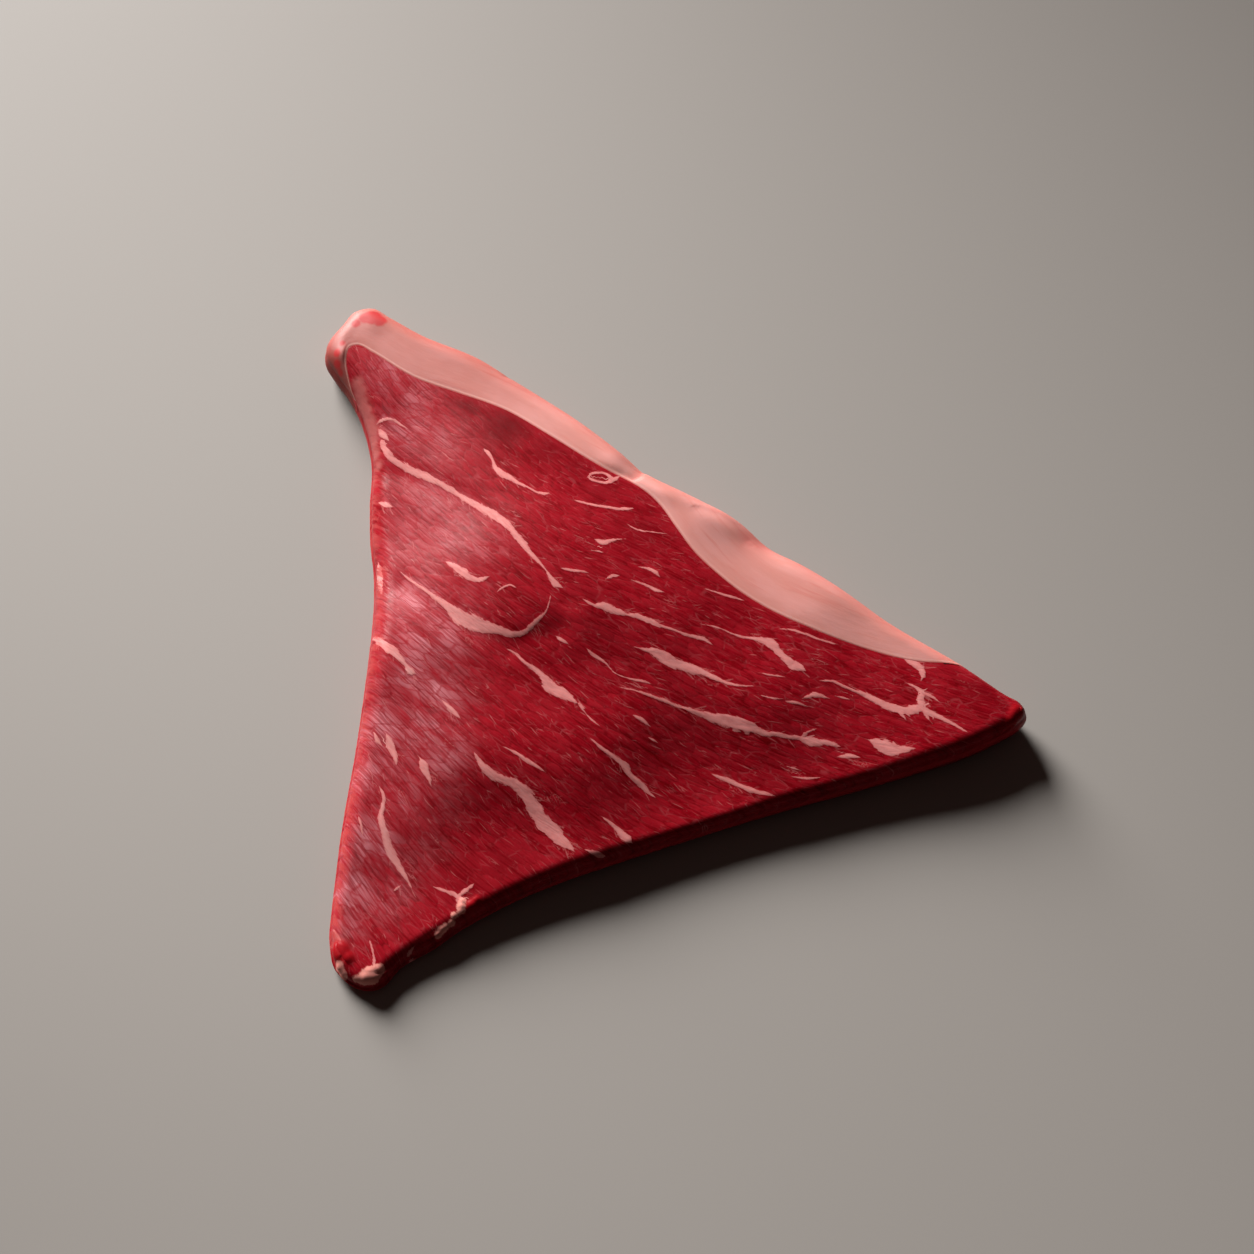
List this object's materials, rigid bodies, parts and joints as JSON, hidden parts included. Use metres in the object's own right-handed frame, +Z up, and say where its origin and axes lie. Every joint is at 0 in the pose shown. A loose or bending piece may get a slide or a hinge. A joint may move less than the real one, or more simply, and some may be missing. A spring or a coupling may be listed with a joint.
{
  "type": "raw tri-tip",
  "caption": "Raw three-cornered beef roast lying flat, deep red marbled lean with a pale fat cap along its longest side.",
  "frame": {"origin": "middle of the footprint's bounding box, on the flat underside", "axes": "+Z up through the thickness; +Y from the front corner to the neck corner along the blunt side; +X from the blunt side to the long point"},
  "size_m": [0.247, 0.265, 0.0243],
  "materials": {
    "lean": "moist",
    "fat": "satin"
  },
  "bodies": {
    "root": {"lean": "lean", "fat_cap": "fat"}
  },
  "joints": []
}
